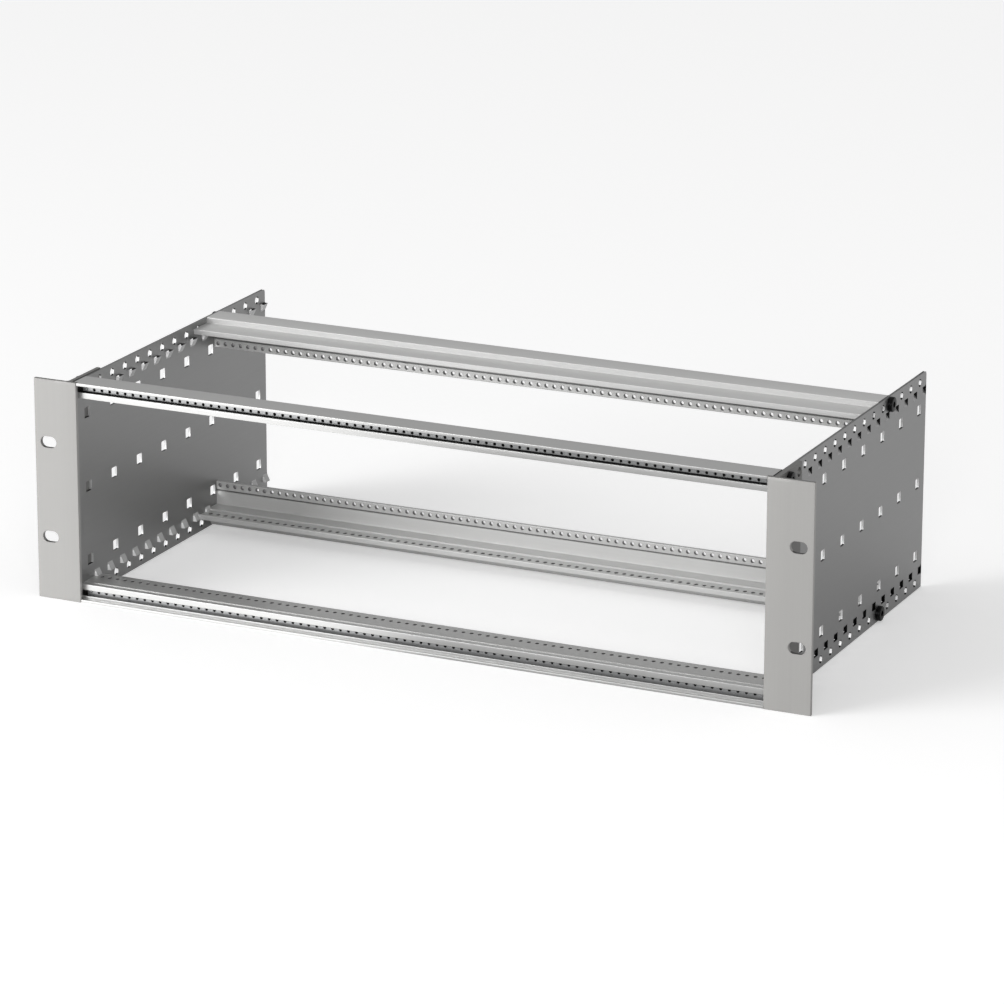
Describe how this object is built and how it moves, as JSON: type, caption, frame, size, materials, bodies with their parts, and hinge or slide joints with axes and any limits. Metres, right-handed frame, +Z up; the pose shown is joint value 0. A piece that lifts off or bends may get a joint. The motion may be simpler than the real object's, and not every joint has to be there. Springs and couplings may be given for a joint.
{
  "type": "subrack card cage",
  "caption": "Rack-mount subrack frame with perforated side plates, extruded front and rear card rails and slotted mounting flanges.",
  "frame": {"origin": "centre of the four rack slots, on the front face of the flanges", "axes": "+X to the right along the rails, +Y into the rack, +Z up"},
  "size_m": [0.4826, 0.237, 0.1324],
  "materials": {
    "plate": "satin",
    "flange": "satin",
    "rail": "satin",
    "strip": "zinc plated",
    "screw": "black oxide",
    "grub": "zinc plated"
  },
  "bodies": {
    "root": {"side_plate_left": "plate", "side_plate_right": "plate", "mounting_bracket_left": "flange", "mounting_bracket_right": "flange", "front_rail_bottom": "rail", "front_rail_top": "rail", "threaded_strip_bottom": "strip", "threaded_strip_top": "strip", "rear_rail_bottom": "rail", "rear_rail_top": "rail", "front_screw_bottom_left": "screw", "front_screw_bottom_right": "screw", "front_screw_top_left": "screw", "front_screw_top_right": "screw", "rear_screw_bottom_left": "screw", "rear_screw_bottom_right": "screw", "rear_screw_top_left": "screw", "rear_screw_top_right": "screw", "strip_screw_bottom_left": "grub", "strip_screw_bottom_right": "grub", "strip_screw_top_left": "grub", "strip_screw_top_right": "grub"}
  },
  "joints": []
}
